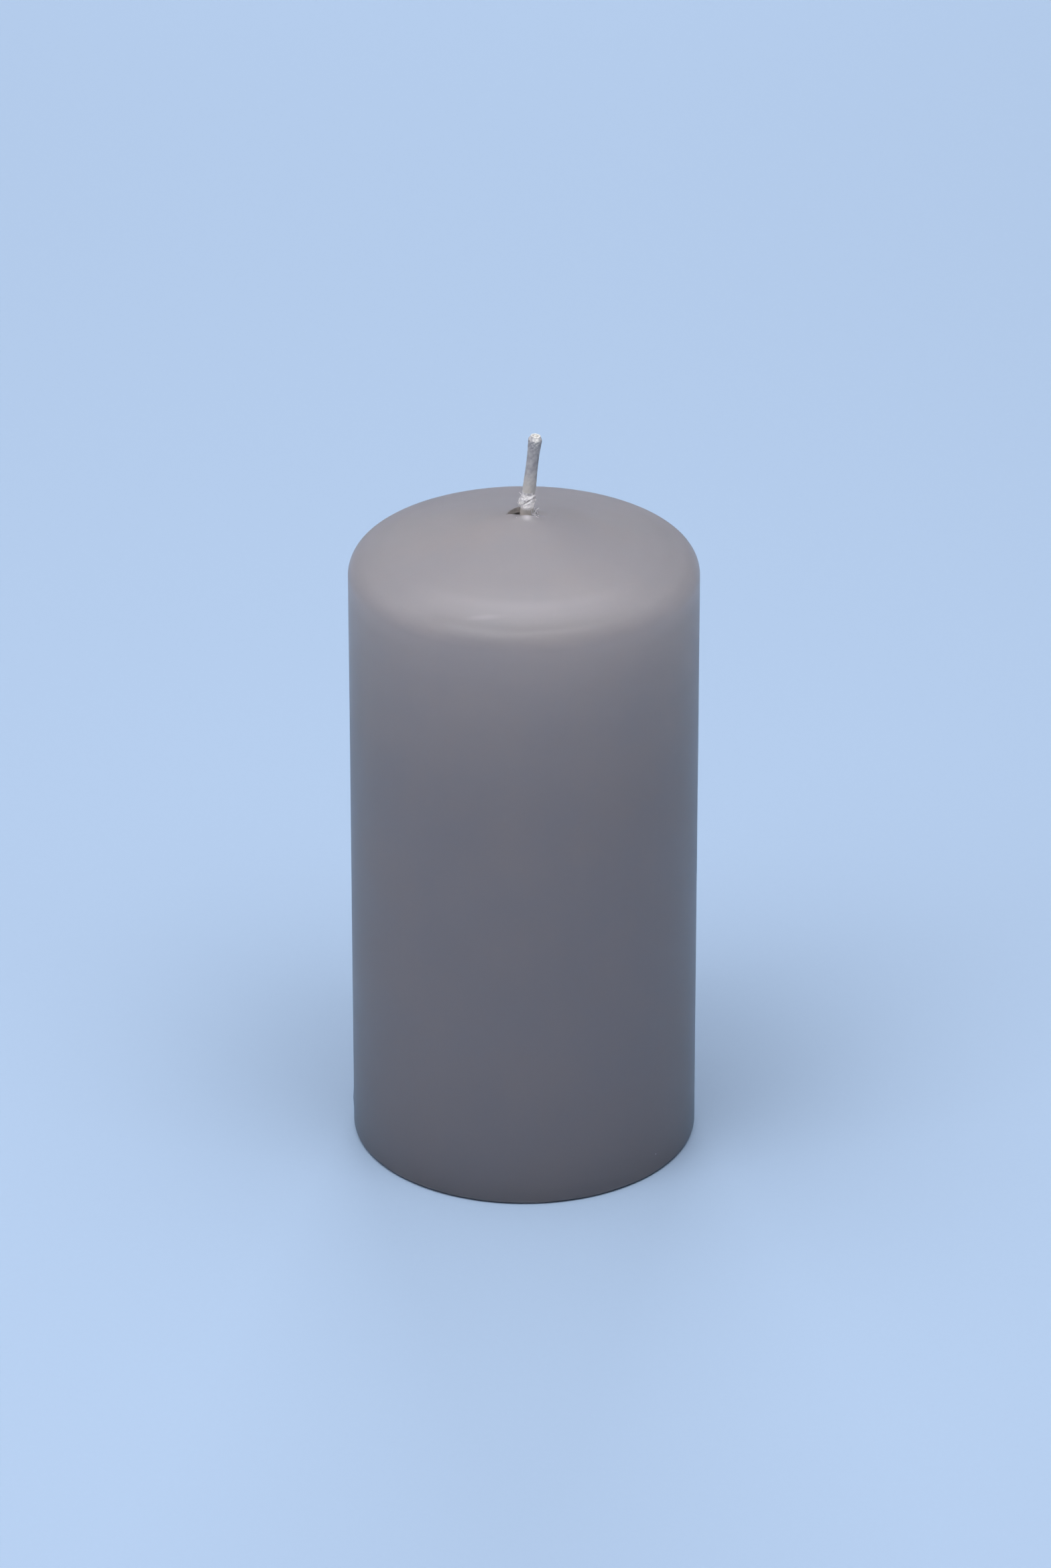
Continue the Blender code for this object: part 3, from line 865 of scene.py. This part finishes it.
PIT_DEPTH = 0.16 * MM          # between the granules of the base
POCKET_RADIUS = 2.4 * MM       # round the sustainer's neck


def core_body():
    """Pressed core: smooth where the coat hides it, granular on its base, chipped at the bore."""
    columns = 240
    around = np.arange(columns) * TAU / columns
    rows = []

    def ring(radius, level):
        radius = radius + 0.0 * around
        rows.append(np.stack([radius * np.cos(around), radius * np.sin(around),
                              level + 0.0 * around], -1))

    funnel = np.array([mouth_radius(a, 0.05) for a in around])
    funnel = np.maximum(funnel, BORE_RADIUS)
    inset = COAT_THICKNESS + CORE_GAP
    for blend, drop in ((1.0, 0.0), (0.9, 1.2), (0.6, 2.4), (0.2, 3.4), (0.0, 4.5)):
        radius = BORE_RADIUS + (funnel - BORE_RADIUS) * blend
        ring(radius, crown_height(radius, inset) - drop * MM)
    rows.reverse()
    for row in shell_outline(inset, JOIN_RADIUS, HIDDEN_ROWS):
        ring(row[0], row[1])
    step = RIM_INNER_RADIUS - CORE_GAP
    seat = DISC_RADIUS + 0.4 * MM
    level = CORE_LOW[2]
    ring(step, inset)
    base_rows = 60
    for i in range(base_rows + 1):
        radius = step + (seat - step) * i / base_rows
        x, y = radius * np.cos(around), radius * np.sin(around)
        pits = np.array([noise.voronoi(Vector((px, py, 0.0)) * 620.0)[0][0]
                         for px, py in zip(x, y)])
        inside = smooth_step(0.0, 0.6 * MM, min(step - radius, radius - seat))
        ring(radius, level + PIT_DEPTH * pits * inside)
    seat_top = DISC_LOW[2] + 0.6 * MM
    ring(seat, seat_top)
    ring(POCKET_RADIUS + 0.5 * MM, seat_top)
    ring(POCKET_RADIUS, seat_top + 0.6 * MM)
    ring(POCKET_RADIUS, DISC_HIGH[2] + 0.4 * MM)
    ring(BORE_RADIUS, DISC_HIGH[2] + 0.9 * MM)
    piece = add_piece("core_body", ring_mesh("core_body", np.array(rows)), white_wax())
    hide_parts("wax_core")
    return piece


SHEET = 0.3 * MM
BEAD_RADIUS = 6.6 * MM         # the stamped ring
BEAD_WIDTH = 0.55 * MM
BEAD_RISE = 0.20 * MM
CRIMP_DEPTH = 0.16 * MM


def sustainer():
    """Stamped disc with a raised ring, a rolled edge and a neck crimped in three places."""
    columns = 144
    around = np.arange(columns) * TAU / columns
    low = DISC_LOW[2]
    under = [(radius, BEAD_RISE * bump(radius - BEAD_RADIUS, BEAD_WIDTH))
             for radius in np.linspace(2.2 * MM, DISC_RADIUS - 0.15 * MM, 34)]
    bore = WICK_RADIUS + WICK_GAP
    neck = DISC_HIGH[2] - low
    outline = [(bore, neck), (bore, 1.0 * MM), (bore + 0.25 * MM, 0.35 * MM),
               (bore + 0.6 * MM, 0.05 * MM)]
    outline += under
    outline += [(DISC_RADIUS, 0.10 * MM), (DISC_RADIUS, 0.22 * MM)]
    outline += [(r, z + SHEET) for r, z in reversed(under) if r > 2.6 * MM]
    outline += [(2.3 * MM, SHEET + 0.12 * MM), (2.05 * MM, SHEET + 0.5 * MM), (2.0 * MM, 2.2 * MM),
                (1.92 * MM, 2.9 * MM), (1.75 * MM, neck)]
    rows = []
    for radius, level in outline:
        crimp = CRIMP_DEPTH * smooth_step(2.2 * MM, 3.2 * MM, level) * (radius > 1.5 * MM)
        ring = radius - crimp * (0.5 + 0.5 * np.cos(3 * around)) ** 2
        rows.append(np.stack([ring * np.cos(around), ring * np.sin(around),
                              low + level + 0.0 * around], -1))
    piece = add_piece("sustainer_disc", ring_mesh("sustainer_disc", np.array(rows)), tinned_steel())
    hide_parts("wick_sustainer")
    return piece


# ------------------------------------------------------------------------------- studio

def studio_floor():
    """One wide pale floor."""
    material, tree, shader = new_material("floor_paper", (0.243, 0.316, 0.428), 0.9)
    grain = noise_value(tree, object_coordinates(tree), 900.0, 2.0)
    colour = blend_colours(tree, grain, (0.241, 0.313, 0.424), (0.245, 0.319, 0.432))
    tree.links.new(colour, shader.inputs["Base Color"])
    shader.inputs["Specular IOR Level"].default_value = 0.1
    mesh = bpy.data.meshes.new("floor")
    side, front, back = 1.3, -1.6, 0.85
    mesh.from_pydata([(-side, front, 0), (side, front, 0), (side, back, 0), (-side, back, 0)],
                     [], [(0, 1, 2, 3)])
    mesh.materials.append(material)
    floor = bpy.data.objects.new("floor", mesh)
    bpy.context.scene.collection.objects.link(floor)


def soft_light(name, azimuth, elevation, distance, size, power, mirrored=True):
    """Square soft light that faces the candle. Azimuth 0 is the front and 90 is +X, in degrees."""
    turn, rise = math.radians(azimuth), math.radians(elevation)
    aim = Vector((0.0, 0.0, 70.0 * MM))
    direction = Vector((math.sin(turn) * math.cos(rise), -math.cos(turn) * math.cos(rise),
                        math.sin(rise)))
    lamp = bpy.data.lights.new(name, "AREA")
    lamp.shape = "SQUARE"
    lamp.size = size
    lamp.energy = power
    holder = bpy.data.objects.new(name, lamp)
    holder.location = aim + distance * direction
    holder.rotation_euler = direction.to_track_quat("Z", "Y").to_euler()
    holder.visible_glossy = mirrored
    bpy.context.scene.collection.objects.link(holder)


def studio_lights():
    """A wide soft ceiling of light, a little more of it from the left, and a low one behind."""
    soft_light("ceiling", 0, 90, 1.30, 1.6, 15.6)
    soft_light("ceiling_centre", 0, 90, 1.30, 1.0, 6.0)
    soft_light("ceiling_front", 0, 64, 1.37, 1.0, 7.2)
    soft_light("ceiling_left", -90, 64, 1.37, 1.0, 3.2)
    soft_light("high_left", -45, 68, 1.40, 0.6, 4.4)
    soft_light("high_right", 45, 68, 1.40, 0.6, 4.0)
    soft_light("side_left", -90, 68, 1.40, 0.6, 2.3)
    soft_light("side_right", 90, 68, 1.40, 0.6, 2.4)
    soft_light("key_left", -50, 45, 1.40, 0.6, 4.5)
    soft_light("fill_right", 50, 45, 1.40, 0.6, 2.1)
    soft_light("low_back", 180, 20, 1.40, 0.6, 11.0, mirrored=False)
    world = bpy.data.worlds.new("studio")
    world.use_nodes = True
    background = world.node_tree.nodes["Background"]
    background.inputs["Color"].default_value = (0.12, 0.45, 1.0, 1.0)
    background.inputs["Strength"].default_value = 0.09
    bpy.context.scene.world = world
    bpy.context.scene.view_settings.view_transform = "Standard"


def front_camera():
    """Long lens in front of the candle, looking down at it."""
    elevation = math.radians(27.45)
    distance = 1592.1 * MM
    target = Vector((0.29 * MM, 0.0, 77.67 * MM))
    lens = bpy.data.cameras.new("camera")
    lens.lens = 181.4
    lens.sensor_width = 36.0
    lens.clip_start = 0.01
    camera = bpy.data.objects.new("camera", lens)
    camera.location = target + distance * Vector((0, -math.cos(elevation), math.sin(elevation)))
    camera.rotation_euler = (math.pi / 2 - elevation, 0.0, 0.0)
    bpy.context.scene.collection.objects.link(camera)
    bpy.context.scene.camera = camera


# ------------------------------------------------------------------------------- the scene

def main():
    front_camera()
    slots = (
        (coat_skin(), "grey_wax"), (core_body(), "white_wax"), (sustainer(), "steel"),
        (wick_braid(), "wick_cotton"), (wick_thread(), "thread"), (wick_fibres(), "thread"),
        (wick_collar(), "collar_wax"), (wax_flakes(), "collar_wax"))
    for piece, slot in slots:
        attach(piece, "root")
    studio_floor()
    studio_lights()


main()
